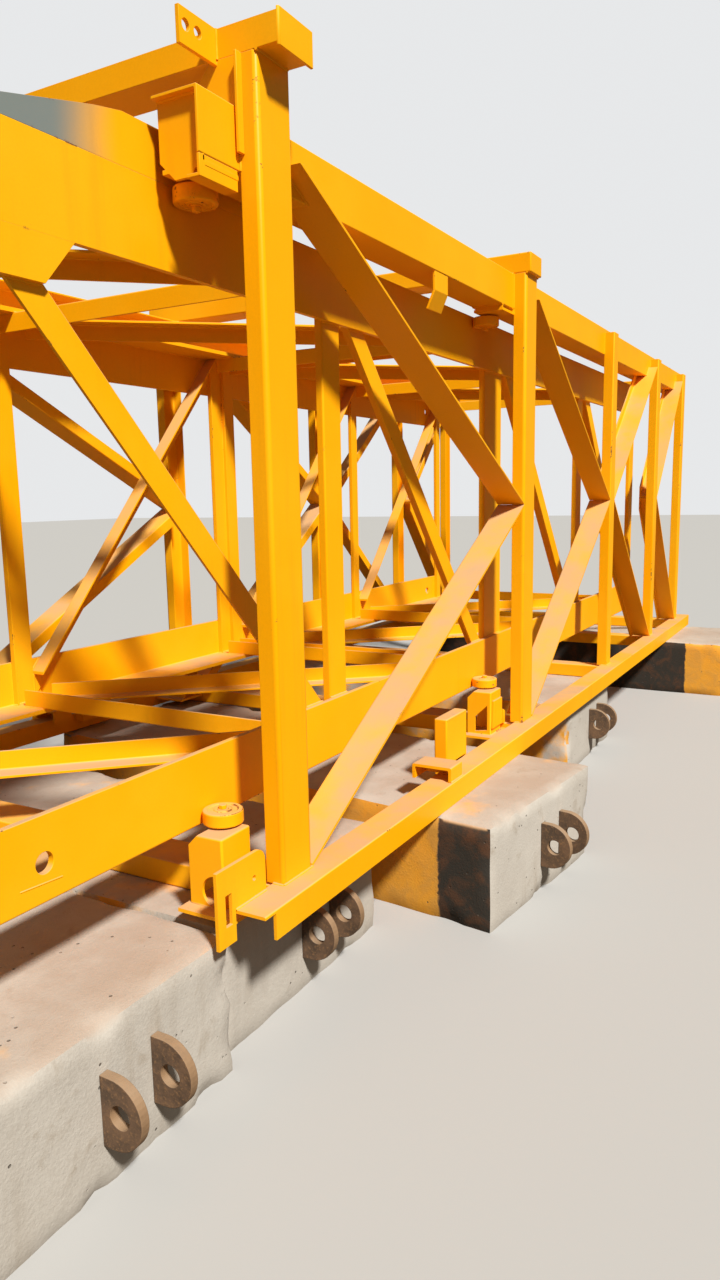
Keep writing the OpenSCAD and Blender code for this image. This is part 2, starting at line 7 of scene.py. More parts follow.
import bmesh
import bpy
from bpy.props import (FloatProperty, FloatVectorProperty, IntProperty,
                       PointerProperty)
from mathutils import Matrix, Vector, noise
from mathutils.bvhtree import BVHTree


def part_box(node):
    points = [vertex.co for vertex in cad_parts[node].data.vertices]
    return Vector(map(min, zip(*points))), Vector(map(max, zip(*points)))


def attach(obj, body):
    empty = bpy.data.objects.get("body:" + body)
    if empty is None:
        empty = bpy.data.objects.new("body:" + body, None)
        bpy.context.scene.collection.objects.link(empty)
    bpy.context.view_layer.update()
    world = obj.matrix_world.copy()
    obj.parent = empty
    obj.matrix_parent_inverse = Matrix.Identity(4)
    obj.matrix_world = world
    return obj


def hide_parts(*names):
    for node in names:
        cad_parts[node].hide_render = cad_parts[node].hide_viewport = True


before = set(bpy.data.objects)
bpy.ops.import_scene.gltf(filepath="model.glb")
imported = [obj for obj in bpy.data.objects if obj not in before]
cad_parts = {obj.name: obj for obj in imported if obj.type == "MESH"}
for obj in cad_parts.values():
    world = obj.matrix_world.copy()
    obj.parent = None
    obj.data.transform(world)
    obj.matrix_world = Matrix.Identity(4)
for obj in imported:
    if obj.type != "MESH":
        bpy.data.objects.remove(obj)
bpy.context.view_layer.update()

bl_info = {
    "name": "Climbing cage with mast sections",
    "version": (1, 0, 0),
    "blender": (4, 5, 0),
    "location": "View3D > Sidebar > Climbing cage",
    "description": "Builds the looks of a climbing cage on ballast blocks",
    "category": "Add Mesh",
}

MM = 0.001
# The drawing's millimetres: X from the first post, Y from the posts' outer
# face, Z from the top of the bottom chords. The first post has its low corner
# at zero.
ORIGIN = -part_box("near_end_post")[0] / MM
CAGE_WIDTH = 2322.0
BLOCK_TURN = {"ballast_block_3": -7.0}

CAGE_NODES = [
    "near_top_chord", "far_top_chord", "near_bottom_chord", "far_bottom_chord",
    "near_end_post", "near_main_post", "near_light_posts",
    "far_end_post", "far_main_post", "far_light_posts",
    "near_upper_braces", "near_lower_braces", "far_upper_braces", "far_lower_braces",
    "front_cap_beam", "middle_cap_beam", "rear_cross_beam", "bottom_cross_beams",
    "near_brackets", "far_brackets", "cap_lugs", "connection_plates", "chord_fittings",
]
MAST_NODES = [
    "mast_upper_near_leg", "mast_lower_near_leg", "mast_upper_far_leg", "mast_lower_far_leg",
    "mast_side_posts", "mast_side_diagonals", "mast_cross_bars", "mast_flat_diagonals",
    "mast_gussets", "mast_sloped_plates",
]
ROLLERS = ["%s_%s_roller_%d" % (side, level, i)
           for side in ("near", "far") for level in ("upper", "lower") for i in (1, 2)]


def at(x, y, z):
    """A point of the drawing, in the frame's metres."""
    return (Vector((x, y, z)) - ORIGIN) * MM


def settings():
    """The sizes and colours of the panel."""
    return bpy.context.scene.climbing_cage


# Sizes and colours that a user would change.

def colour_setting(name, description, *default):
    return FloatVectorProperty(name=name, description=description, subtype="COLOR",
                               size=4, min=0, max=1, default=(*default, 1))


class PaintSettings(bpy.types.PropertyGroup):
    yellow: colour_setting("Yellow", "Colour of the clean paint", 0.98, 0.42, 0.001)
    faded: colour_setting(
        "Faded yellow", "Colour of the paint where the sun bleached it", 0.98, 0.46, 0.006)
    dust: colour_setting("Dust", "Colour of the dust on faces that look up", 0.47, 0.32, 0.20)
    rust: colour_setting(
        "Rust", "Colour of the steel where the paint is gone", 0.13, 0.05, 0.02)
    grime: colour_setting(
        "Grime", "Colour of the dirt that runs down the paint", 0.45, 0.16, 0.01)
    wear: FloatProperty(
        name="Edge wear", description="Share of the edges that lost their paint",
        min=0, max=1, default=0.16, subtype="FACTOR")


class SteelSettings(bpy.types.PropertyGroup):
    corner: FloatProperty(
        name="Corner radius", description="Rounding of the rolled corners",
        min=0.002, max=0.0075, default=0.0065, unit="LENGTH")
    edge: FloatProperty(
        name="Edge radius", description="Rounding of plate edges",
        min=0.0005, max=0.003, default=0.0014, unit="LENGTH")
    bead: FloatProperty(
        name="Weld bead", description="Radius of the weld beads",
        min=0.002, max=0.01, default=0.0055, unit="LENGTH")
    ripple: FloatProperty(
        name="Weld ripple", description="Pitch of the ripples in a weld bead",
        min=0.004, max=0.03, default=0.011, unit="LENGTH")


class ConcreteSettings(bpy.types.PropertyGroup):
    concrete: colour_setting("Concrete", "Colour of the clean concrete", 0.52, 0.475, 0.41)
    stain: colour_setting("Stain", "Colour of the stains in the concrete", 0.34, 0.28, 0.21)
    grid: FloatProperty(
        name="Mesh pitch", description="Size of the faces of a block",
        min=0.02, max=0.1, default=0.03, unit="LENGTH")
    chip: FloatProperty(
        name="Chip depth", description="Depth of the largest chips in the arrises",
        min=0, max=0.05, default=0.026, unit="LENGTH")
    chips: IntProperty(
        name="Chips", description="Number of chips in the arrises of a block",
        min=0, max=60, default=26)


class StageSettings(bpy.types.PropertyGroup):
    floor: colour_setting("Floor", "Colour of the floor", 0.43, 0.425, 0.41)
    key: FloatProperty(
        name="Key light", description="Strength of the key light", min=0, max=10, default=5.7)
    fill: FloatProperty(
        name="Fill light", description="Strength of the light from all round",
        min=0, max=2, default=0.165)
    lens: FloatProperty(
        name="Lens", description="Focal length on a frame 36 mm high",
        min=10, max=200, default=25.05, subtype="DISTANCE_CAMERA")


class CageSettings(bpy.types.PropertyGroup):
    paint: PointerProperty(type=PaintSettings)
    steel: PointerProperty(type=SteelSettings)
    concrete: PointerProperty(type=ConcreteSettings)
    stage: PointerProperty(type=StageSettings)


# Fixed colours of the materials.
PLAIN_GREY = (0.20, 0.23, 0.215, 1)
FRESH_RUST = (0.28, 0.11, 0.035, 1)
PLATE_DARK = (0.08, 0.048, 0.028, 1)
PLATE_LIGHT = (0.18, 0.10, 0.052, 1)
PLATE_FLAKE = (0.26, 0.14, 0.06, 1)
PLATE_RIM = (0.27, 0.16, 0.08, 1)
PLATE_DUST = (0.36, 0.26, 0.17, 1)
CONCRETE_DARK = (0.43, 0.385, 0.325, 1)
CONCRETE_LIGHT = (0.57, 0.53, 0.46, 1)
CONCRETE_DUST = (0.37, 0.275, 0.205, 1)
# Painted shade inside the concrete's air holes.
AIR_HOLE_SHADE = (0.10, 0.08, 0.06, 1)
OLD_OVERSPRAY = (0.78, 0.36, 0.03, 1)
BAND_BLACK = (0.035, 0.029, 0.021, 1)
BAND_BROWN = (0.10, 0.045, 0.02, 1)

# Noises of the materials: scale, detail, roughness and distortion.
EDGE_COARSE = (5.0, 3.0, 0.6)
EDGE_FINE = (55.0, 5.0, 0.7)
DUST_PATCHES = (2.2, 5.0, 0.62)
RUN_PATCHES = (1.7, 3.0, 0.5)
CHIP_SPOTS = (34.0, 5.0, 0.72, 0.4)
CHIP_AREAS = (3.1, 2.0, 0.5)
PAINT_CLOUDS = (1.3, 4.0, 0.6)
PAINT_SPECKLE = (140.0, 2.0, 0.5)
RUST_TONE = (60.0, 4.0, 0.7)
ORANGE_PEEL = (260.0, 3.0, 0.5)
PLATE_WAVES = (6.0, 2.0, 0.5)
PLATE_TONE = (14.0, 6.0, 0.65)
PLATE_FLAKES = (90.0, 4.0, 0.7)
SPRAY_PATCHES = (3.3, 4.0, 0.6)
CONCRETE_CLOUD = (2.4, 6.0, 0.62)
CONCRETE_GRAIN = (120.0, 4.0, 0.65)
CONCRETE_BLOTS = (9.0, 5.0, 0.66, 0.5)
PIT_AREAS = (11.0, 2.0, 0.5)
# The runs' own scale is an input, and this is their detail and roughness.
RUN_NOISE = (4.0, 0.6)
RUN_SQUEEZE = 0.06
AIR_HOLE_SCALE = 26.0


# Shader helpers.

def add(tree, kind, inputs=None, **props):
    """Adds a node, sets its properties, and links or sets its inputs."""
    node = tree.nodes.new(kind)
    for key, value in props.items():
        setattr(node, key, value)
    for key, value in (inputs or {}).items():
        if isinstance(value, bpy.types.NodeSocket):
            tree.links.new(value, node.inputs[key])
        else:
            node.inputs[key].default_value = value
    return node


def math_node(tree, operation, a, b=0.0, clamp=False):
    return add(tree, "ShaderNodeMath", {0: a, 1: b}, operation=operation,
               use_clamp=clamp).outputs[0]


def plus(tree, a, b):
    return math_node(tree, "ADD", a, b)


def minus(tree, a, b):
    return math_node(tree, "SUBTRACT", a, b)


def times(tree, a, b, clamp=False):
    return math_node(tree, "MULTIPLY", a, b, clamp)


def ramp(tree, value, low, high, to_low=0.0, to_high=1.0):
    """A smooth step of a value, from low to high."""
    return add(tree, "ShaderNodeMapRange",
               {"Value": value, "From Min": low, "From Max": high,
                "To Min": to_low, "To Max": to_high},
               interpolation_type="SMOOTHSTEP").outputs["Result"]


def mix(tree, factor, a, b):
    """A colour between a and b."""
    return add(tree, "ShaderNodeMix", {0: factor, 6: a, 7: b}, data_type="RGBA").outputs[2]


def noise_value(tree, vector, scale, detail, rough, distortion=0.0):
    """Noise between 0 and 1."""
    return add(tree, "ShaderNodeTexNoise",
               {"Vector": vector, "Scale": scale, "Detail": detail,
                "Roughness": rough, "Distortion": distortion}).outputs["Fac"]


def new_mask_group(name, amount, **others):
    """A node group that gives a mask from a vector, an amount and more values.
    Returns it with its two end nodes."""
    group = bpy.data.node_groups.new(name, "ShaderNodeTree")
    group.interface.new_socket("Vector", in_out="INPUT", socket_type="NodeSocketVector")
    for label, value in {"Amount": amount, **others}.items():
        socket = group.interface.new_socket(label, in_out="INPUT",
                                            socket_type="NodeSocketFloat")
        socket.default_value = value
    group.interface.new_socket("Mask", in_out="OUTPUT", socket_type="NodeSocketFloat")
    return group, group.nodes.new("NodeGroupInput"), group.nodes.new("NodeGroupOutput")


def face_normal(tree):
    """X, Y and Z of the shaded face's normal."""
    face = add(tree, "ShaderNodeNewGeometry")
    return add(tree, "ShaderNodeSeparateXYZ", {0: face.outputs["Normal"]}).outputs


def edge_wear_group(name):
    """Mask of worn edges: the rounded strips and what lies beside them, broken
    up by noise."""
    group, start, end = new_mask_group(name, 0.35, Radius=0.012)
    strip = add(group, "ShaderNodeAttribute", attribute_name="edge").outputs["Fac"]
    near = add(group, "ShaderNodeBevel", {"Radius": start.outputs["Radius"]}, samples=4)
    face = add(group, "ShaderNodeNewGeometry")
    same = add(group, "ShaderNodeVectorMath",
               {0: near.outputs["Normal"], 1: face.outputs["Normal"]},
               operation="DOT_PRODUCT").outputs["Value"]
    beside = times(group, minus(group, 1.0, same), 5.0, True)
    edge = math_node(group, "MAXIMUM", strip, beside)
    coarse = noise_value(group, start.outputs["Vector"], *EDGE_COARSE)
    fine = noise_value(group, start.outputs["Vector"], *EDGE_FINE)
    broken = plus(group, times(group, coarse, 0.6), times(group, fine, 0.55))
    bar = minus(group, 0.98, times(group, start.outputs["Amount"], 0.75))
    bar = minus(group, bar, times(group, edge, 0.16))
    over = minus(group, broken, bar)
    mask = times(group, ramp(group, over, 0.0, 0.03), edge, True)
    group.links.new(mask, end.inputs["Mask"])
    return group


def dust_group(name):
    """Mask of dust that settled on faces that look up."""
    group, start, end = new_mask_group(name, 0.8)
    flat = ramp(group, face_normal(group)["Z"], 0.25, 0.9)
    patches = noise_value(group, start.outputs["Vector"], *DUST_PATCHES)
    cover = ramp(group, patches, 0.3, 0.66, 0.22, 1.0)
    mask = times(group, times(group, flat, cover), start.outputs["Amount"], True)
    group.links.new(mask, end.inputs["Mask"])
    return group


def streak_group(name):
    """Mask of dirt that ran down upright faces."""
    group, start, end = new_mask_group(name, 0.3, Width=22.0)
    squeezed = add(group, "ShaderNodeMapping",
                   {"Vector": start.outputs["Vector"], "Scale": (1.0, 1.0, RUN_SQUEEZE)})
    runs = noise_value(group, squeezed.outputs["Vector"], start.outputs["Width"], *RUN_NOISE)
    patches = noise_value(group, start.outputs["Vector"], *RUN_PATCHES)
    tilt = math_node(group, "ABSOLUTE", face_normal(group)["Z"])
    upright = ramp(group, tilt, 0.3, 0.8, 1.0, 0.0)
    mask = times(group, ramp(group, runs, 0.5, 0.74), ramp(group, patches, 0.42, 0.66))
    mask = times(group, times(group, mask, upright), start.outputs["Amount"], True)
    group.links.new(mask, end.inputs["Mask"])
    return group


def chip_group(name):
    """Mask of small chips and scratches anywhere on a face."""
    group, start, end = new_mask_group(name, 0.3)
    spots = noise_value(group, start.outputs["Vector"], *CHIP_SPOTS)
    where = noise_value(group, start.outputs["Vector"], *CHIP_AREAS)
    level = plus(group, spots, times(group, where, 0.35))
    bar = minus(group, 1.0, times(group, start.outputs["Amount"], 0.12))
    mask = ramp(group, minus(group, level, bar), -0.006, 0.012)
    group.links.new(mask, end.inputs["Mask"])
    return group


GROUP_MAKERS = {"Worn edges": edge_wear_group, "Settled dust": dust_group,
                "Dirt runs": streak_group, "Paint chips": chip_group}


def mask_of(tree, name, **inputs):
    """The mask of a shared node group, which is made at its first use."""
    group = bpy.data.node_groups.get(name) or GROUP_MAKERS[name](name)
    return add(tree, "ShaderNodeGroup", inputs, node_tree=group).outputs["Mask"]


def new_material(name):
    """A material, its tree, its shader and the object's coordinates."""
    material = bpy.data.materials.new(name)
    material.use_nodes = True
    tree = material.node_tree
    tree.nodes.clear()
    shader = tree.nodes.new("ShaderNodeBsdfPrincipled")
    out = tree.nodes.new("ShaderNodeOutputMaterial")
    tree.links.new(shader.outputs["BSDF"], out.inputs["Surface"])
    place_of = tree.nodes.new("ShaderNodeTexCoord").outputs["Object"]
    return material, tree, shader, place_of


def bump_normal(tree, height, distance, strength=0.6, normal=None):
    inputs = {"Height": height, "Distance": distance, "Strength": strength}
    if normal is not None:
        inputs["Normal"] = normal
    return add(tree, "ShaderNodeBump", inputs).outputs["Normal"]


def painted_steel(name, wear=1.0, dust=0.85, chips=0.3, streaks=0.12, grey_limit_x=None):
    """Yellow site paint with dust, dirt, chips and worn edges. Ahead of grey_limit_x the paint
    turns grey."""
    found = bpy.data.materials.get(name)
    if found:
        return found
    s = settings().paint
    material, tree, shader, spot = new_material(name)
    edge = mask_of(tree, "Worn edges", Vector=spot, Amount=s.wear * wear, Radius=0.011)
    settled = mask_of(tree, "Settled dust", Vector=spot, Amount=dust)
    ran = mask_of(tree, "Dirt runs", Vector=spot, Amount=streaks)
    chip = mask_of(tree, "Paint chips", Vector=spot, Amount=chips)
    clouds = noise_value(tree, spot, *PAINT_CLOUDS)
    colour = mix(tree, ramp(tree, clouds, 0.35, 0.7), tuple(s.yellow), tuple(s.faded))
    speckle = noise_value(tree, spot, *PAINT_SPECKLE)
    colour = mix(tree, ramp(tree, speckle, 0.3, 0.75, 0.0, 0.06), colour, tuple(s.grime))
    colour = mix(tree, ran, colour, tuple(s.grime))
    # Toward the near end the paint turns grey.
    if grey_limit_x is not None:
        along = add(tree, "ShaderNodeSeparateXYZ", {0: spot}).outputs["X"]
        ragged = plus(tree, along, times(tree, clouds, 0.12))
        ahead = ramp(tree, ragged, grey_limit_x - 0.08, grey_limit_x + 0.14, 1.0, 0.0)
        colour = mix(tree, ahead, colour, PLAIN_GREY)
    colour = mix(tree, settled, colour, tuple(s.dust))
    bare = math_node(tree, "MAXIMUM", edge, chip)
    rust_tone = noise_value(tree, spot, *RUST_TONE)
    rust = mix(tree, ramp(tree, rust_tone, 0.35, 0.65), tuple(s.rust), FRESH_RUST)
    colour = mix(tree, bare, colour, rust)
    tree.links.new(colour, shader.inputs["Base Color"])
    shader.inputs["Specular IOR Level"].default_value = 0.14
    gloss = ramp(tree, clouds, 0.3, 0.7, 0.36, 0.5)
    rough = math_node(tree, "MAXIMUM", gloss, ramp(tree, settled, 0.0, 0.8, 0.3, 0.88))
    rough = math_node(tree, "MAXIMUM", rough, ramp(tree, bare, 0.0, 1.0, 0.3, 0.8))
    tree.links.new(rough, shader.inputs["Roughness"])
    peel = noise_value(tree, spot, *ORANGE_PEEL)
    height = plus(tree, times(tree, peel, 0.25), minus(tree, 1.0, bare))
    waves = noise_value(tree, spot, *PLATE_WAVES)
    first = bump_normal(tree, waves, 0.004, 0.25)
    tree.links.new(bump_normal(tree, height, 0.0006, 0.5, first), shader.inputs["Normal"])
    return material


def rusty_steel(name):
    """Torch-cut plate with an even brown rust."""
    material, tree, shader, spot = new_material(name)
    tone = noise_value(tree, spot, *PLATE_TONE)
    flakes = noise_value(tree, spot, *PLATE_FLAKES)
    colour = mix(tree, ramp(tree, tone, 0.3, 0.7), PLATE_DARK, PLATE_LIGHT)
    colour = mix(tree, ramp(tree, flakes, 0.5, 0.72), colour, PLATE_FLAKE)
    rim = add(tree, "ShaderNodeAttribute", attribute_name="rim").outputs["Fac"]
    colour = mix(tree, times(tree, rim, ramp(tree, tone, 0.2, 0.6, 0.5, 1.0)), colour,
                 PLATE_RIM)
    settled = mask_of(tree, "Settled dust", Vector=spot, Amount=0.5)
    colour = mix(tree, settled, colour, PLATE_DUST)
    tree.links.new(colour, shader.inputs["Base Color"])
    tree.links.new(ramp(tree, tone, 0.3, 0.7, 0.68, 0.9), shader.inputs["Roughness"])
    height = plus(tree, flakes, times(tree, tone, 2.0))
    tree.links.new(bump_normal(tree, height, 0.0015, 0.7), shader.inputs["Normal"])
    return material


def overspray(tree, colour, place_of, spot, blots, shares, band):
    """Puts yellow overspray on a concrete block's colour, and the dark band.
    shares gives how much of the side and of the top is yellow."""
    side_paint, top_paint = shares
    axes = face_normal(tree)
    to_side = ramp(tree, axes["X"], -0.9, -0.6, 1.0, 0.0)
    to_top = ramp(tree, axes["Z"], 0.6, 0.9)
    sprayed = noise_value(tree, spot, *SPRAY_PATCHES)
    side = times(tree, to_side,
                 ramp(tree, sprayed, 0.62 - 0.5 * side_paint, 0.8 - 0.5 * side_paint))
    top = times(tree, to_top,
                ramp(tree, sprayed, 0.66 - 0.3 * top_paint, 0.86 - 0.3 * top_paint))
    spray = math_node(tree, "MAXIMUM", times(tree, side, 0.92), times(tree, top, 0.6))
    worn = mix(tree, ramp(tree, blots, 0.35, 0.7), tuple(settings().paint.yellow),
               OLD_OVERSPRAY)
    if band:
        across = add(tree, "ShaderNodeSeparateXYZ", {0: place_of}).outputs["Y"]
        ragged = plus(tree, across, times(tree, blots, 0.06))
        beyond = ramp(tree, ragged, band[0] + 0.025, band[0] + 0.035)
        if band[1] < 0:
            beyond = minus(tree, 1.0, beyond)
        beyond = times(tree, to_side, beyond)
        spray = math_node(tree, "MAXIMUM", spray, beyond)
        dark = mix(tree, ramp(tree, blots, 0.45, 0.7), BAND_BLACK, BAND_BROWN)
        worn = mix(tree, beyond, worn, dark)
    return mix(tree, spray, colour, worn)


def cast_concrete(name, side_paint, top_paint, seed, band=None):
    """Weathered concrete with air holes, their darkness painted shade, stains, dust and yellow
    overspray.
    side_paint covers the face toward the cage's near end. band = (y, way) turns
    the part of that face beyond y dark, way = 1 up and -1 down the y axis."""
    s = settings().concrete
    material, tree, shader, place_of = new_material(name)
    moved = add(tree, "ShaderNodeMapping",
                {"Vector": place_of, "Location": (seed * 3.7, seed * 1.9, seed * 0.7)})
    spot = moved.outputs["Vector"]
    cloud = noise_value(tree, spot, *CONCRETE_CLOUD)
    grain = noise_value(tree, spot, *CONCRETE_GRAIN)
    blots = noise_value(tree, spot, *CONCRETE_BLOTS)
    colour = mix(tree, ramp(tree, cloud, 0.3, 0.72), tuple(s.concrete), CONCRETE_DARK)
    colour = mix(tree, ramp(tree, grain, 0.35, 0.7, 0.0, 0.35), colour, CONCRETE_LIGHT)
    colour = mix(tree, ramp(tree, blots, 0.56, 0.74, 0.0, 0.7), colour, tuple(s.stain))
    ran = mask_of(tree, "Dirt runs", Vector=spot, Amount=0.6, Width=14.0)
    colour = mix(tree, ran, colour, tuple(s.stain))
    settled = mask_of(tree, "Settled dust", Vector=spot, Amount=0.8)
    colour = mix(tree, settled, colour, CONCRETE_DUST)
    colour = overspray(tree, colour, place_of, spot, blots, (side_paint, top_paint), band)
    cells = add(tree, "ShaderNodeTexVoronoi",
                {"Vector": spot, "Scale": AIR_HOLE_SCALE}).outputs["Distance"]
    pits = noise_value(tree, spot, *PIT_AREAS)
    hole = times(tree, ramp(tree, cells, 0.07, 0.13, 1.0, 0.0),
                 ramp(tree, pits, 0.5, 0.62), True)
    # Painted shade: the air holes are coloured dark, as shade inside the pits would make them.
    colour = mix(tree, times(tree, hole, 0.75), colour, AIR_HOLE_SHADE)
    tree.links.new(colour, shader.inputs["Base Color"])
    tree.links.new(ramp(tree, grain, 0.3, 0.7, 0.82, 0.96), shader.inputs["Roughness"])
    height = minus(tree, plus(tree, grain, times(tree, blots, 1.6)), times(tree, hole, 4.0))
    tree.links.new(bump_normal(tree, height, 0.002, 0.75), shader.inputs["Normal"])
    return material


# Rounding, in metres. A rolled corner needs faces of this width and an edge of
# this length beside it.
ROLLED_WIDTH = 0.028
ROLLED_LENGTH = 0.05
CHORD_ROLLED_LENGTH = 0.2
TOP_CHORD_CORNER = 0.0036
BOTTOM_CHORD_CORNER = 0.0045
FLUSH_LEG_CORNER = 0.0015
FLUSH_PLATE_EDGE = 0.0005
# The posts are bent channels with a larger corner.
POST_WIDTH = 0.05
POST_LENGTH = 0.5
POST_CORNER_RATIO = 2.1

ROLLER_STEPS = 72
ROLLER_EDGE = 0.0012
FITTING_EDGE = 0.0015
EYE_EDGE = 0.0028


# Mesh helpers.

def merged_copy(node):
    """The CAD node's mesh with its corners joined and its flat faces whole."""
    bm = bmesh.new()
    bm.from_mesh(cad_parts[node].data)
    bmesh.ops.remove_doubles(bm, verts=bm.verts, dist=1e-5)
    bmesh.ops.dissolve_limit(bm, angle_limit=math.radians(1), use_dissolve_boundaries=False,
                             verts=bm.verts, edges=bm.edges, delimit=set())
    bm.normal_update()
    return bm


def face_width(face):
    """Area over the longest edge: how wide a face is."""
    return face.calc_area() / max(edge.calc_length() for edge in face.edges)


def corner_edges(bm, least_width, least_length):
    """Edges between two wide flat faces, at a plain angle."""
    found = []
    for edge in bm.edges:
        if len(edge.link_faces) != 2 or edge.calc_length() < least_length:
            continue
        if not math.radians(50) < edge.calc_face_angle(0) < math.radians(130):
            continue
        if min(face_width(face) for face in edge.link_faces) >= least_width:
            found.append(edge)
    return found


def sharp_edges(bm, degrees):
    """Edges where two faces meet at more than an angle."""
    return [edge for edge in bm.edges
            if len(edge.link_faces) == 2 and edge.calc_face_angle(0) > math.radians(degrees)]


def round_edges(bm, edges, radius, segments, clamp):
    """Rounds edges and marks the new strips for the wear."""
    if not edges:
        return
    strip = bm.faces.layers.float.get("edge") or bm.faces.layers.float.new("edge")
    keys = {edge.index for edge in edges}
    bm.edges.ensure_lookup_table()
    edges = [edge for edge in bm.edges if edge.index in keys]
    made = bmesh.ops.bevel(bm, geom=edges, offset=radius, offset_type="OFFSET",
                           segments=segments, profile=0.5, affect="EDGES",
                           clamp_overlap=clamp, material=-1)
    for face in made["faces"]:
        face[strip] = 1.0


def rounded_steel(node, corner, edge):
    """A copy of a steel node with rolled corners and eased plate edges. The
    chords' walls end in thin strips, which bear only a small radius, and the
    plates of the mast lie flush with its upper legs."""
    bm = merged_copy(node)
    least = ROLLED_LENGTH
    if node.endswith("_chord"):
        corner = min(corner, TOP_CHORD_CORNER if "top" in node else BOTTOM_CHORD_CORNER)
        least = CHORD_ROLLED_LENGTH
    if node.startswith("mast_upper"):
        corner = min(corner, FLUSH_LEG_CORNER)
    if node in ("mast_sloped_plates", "mast_gussets"):
        edge = min(edge, FLUSH_PLATE_EDGE)
    if node.endswith("_post"):
        bm.edges.index_update()
        bent = [item for item in corner_edges(bm, POST_WIDTH, POST_LENGTH) if item.is_convex]
        round_edges(bm, bent, POST_CORNER_RATIO * corner, 5, False)
    bm.edges.index_update()
    round_edges(bm, corner_edges(bm, ROLLED_WIDTH, least), corner, 3, False)
    bm.edges.index_update()
    round_edges(bm, sharp_edges(bm, 40), edge, 2, True)
    return bm


def ease_all(bm, radius):
    """Rounds every sharp edge of a made piece."""
    bm.normal_update()
    bm.edges.index_update()
    round_edges(bm, sharp_edges(bm, 25), radius, 2, True)


def make_piece(name, bm, body, material, replaced=(), sharp=None):
    """Turns a bmesh into a finished piece that rides on a body. Without an
    angle for sharp edges, flat faces stay flat and rounded strips go smooth."""
    mesh = bpy.data.meshes.new(name)
    bm.normal_update()
    strip = bm.faces.layers.float.get("edge")
    for face in bm.faces:
        face.smooth = sharp is not None or bool(strip and face[strip] > 0.5)
    bm.to_mesh(mesh)
    bm.free()
    mesh.materials.append(material)
    if sharp is not None:
        mesh.set_sharp_from_angle(angle=math.radians(sharp))
    obj = bpy.data.objects.new(name, mesh)
    bpy.context.scene.collection.objects.link(obj)
    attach(obj, body)
    if replaced:
        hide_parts(*replaced)


def add_box(bm, x0, x1, y0, y1, z0, z1):
    """A box in the drawing's millimetres."""
    low, high = at(x0, y0, z0), at(x1, y1, z1)
    size, middle = high - low, (high + low) / 2
    matrix = Matrix.Translation(middle) @ Matrix.Diagonal((*size, 1.0))
    bmesh.ops.create_cube(bm, size=1.0, matrix=matrix)


def add_rod(bm, start, end, radius, segments):
    """A round bar between two points of the frame."""
    way = end - start
    turn = way.to_track_quat("Z", "Y").to_matrix().to_4x4()
    matrix = Matrix.Translation((start + end) / 2) @ turn
    bmesh.ops.create_cone(bm, cap_ends=True, segments=segments, radius1=radius,
                          radius2=radius, depth=way.length, matrix=matrix)


def lathe(bm, profile, centre, axis, segments):
    """Spins a closed outline of (radius, height) millimetres about an axis."""
    turn = axis.to_track_quat("Z", "Y").to_matrix()
    verts = [bm.verts.new(centre + turn @ Vector((r * MM, 0, h * MM))) for r, h in profile]
    edges = [bm.edges.new((verts[i], verts[(i + 1) % len(verts)])) for i in range(len(verts))]
    bmesh.ops.spin(bm, geom=verts + edges, cent=centre, axis=axis, angle=math.tau,
                   steps=segments, use_merge=True, use_duplicate=False)
    bmesh.ops.remove_doubles(bm, verts=bm.verts, dist=1e-6)


# Ahead of this place on the mast the paint turns grey, in the drawing.
GREY_LIMIT_X = -330


def build_steel(nodes, body):
    """Replaces steel nodes by painted copies with rounded edges."""
    steel = settings().steel
    for node in nodes:
        paint = painted_steel("Yellow site paint")
        # The sloped plates turn grey toward the near end.
        if node == "mast_sloped_plates":
            paint = painted_steel("Paint with grey end", grey_limit_x=at(GREY_LIMIT_X, 0, 0).x)
        bm = rounded_steel(node, steel.corner, steel.edge)
        make_piece(node + "_steel", bm, body, paint, (node,))


class CAGE_OT_cage_steel(bpy.types.Operator):
    """Chords, posts, braces, beams and brackets of the cage, with rolled corners"""
    bl_idname = "climbing_cage.cage_steel"
    bl_label = "Cage steel"

    def execute(self, context):
        build_steel(CAGE_NODES, "cage")
        return {"FINISHED"}


class CAGE_OT_mast_steel(bpy.types.Operator):
    """Legs, bracing and plates of the nested mast sections"""
    bl_idname = "climbing_cage.mast_steel"
    bl_label = "Mast steel"

    def execute(self, context):
        build_steel(MAST_NODES, "mast")
        return {"FINISHED"}


# Half outline of a guide roller: bore, hub, dished web and chamfered tread.
ROLLER_SIDE = [(17, 0), (27, 0), (28.5, 3.5), (45, 3.5), (47, 0.5), (57.5, 0.5), (60.5, 1.8),
               (62, 5.5)]


class CAGE_OT_guide_rollers(bpy.types.Operator):
    """Eight guide rollers with hub, dished web and chamfered tread"""
    bl_idname = "climbing_cage.guide_rollers"
    bl_label = "Guide rollers"

    def execute(self, context):
        steel = painted_steel("Roller paint", wear=1.7, dust=0.7, chips=1.6, streaks=0.2)
        for node in ROLLERS:
            low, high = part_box(node)
            centre = Vector(((low.x + high.x) / 2, (low.y + high.y) / 2, low.z))
            thick = (high.z - low.z) / MM
            outline = ROLLER_SIDE + [(r, thick - h) for r, h in reversed(ROLLER_SIDE)]
            bm = bmesh.new()
            lathe(bm, outline, centre, Vector((0, 0, 1)), ROLLER_STEPS)
            bmesh.ops.recalc_face_normals(bm, faces=bm.faces)
            ease_all(bm, ROLLER_EDGE)
            make_piece(node + "_turned", bm, node, steel, (node,))
        return {"FINISHED"}


# Weld beads where steel touches steel, in metres.

TOUCH = 0.0012
WELD_STEP = 0.012
LEAST_WELD = 0.024
WELD_PROBE = 0.004
MOST_RIPPLES = 250


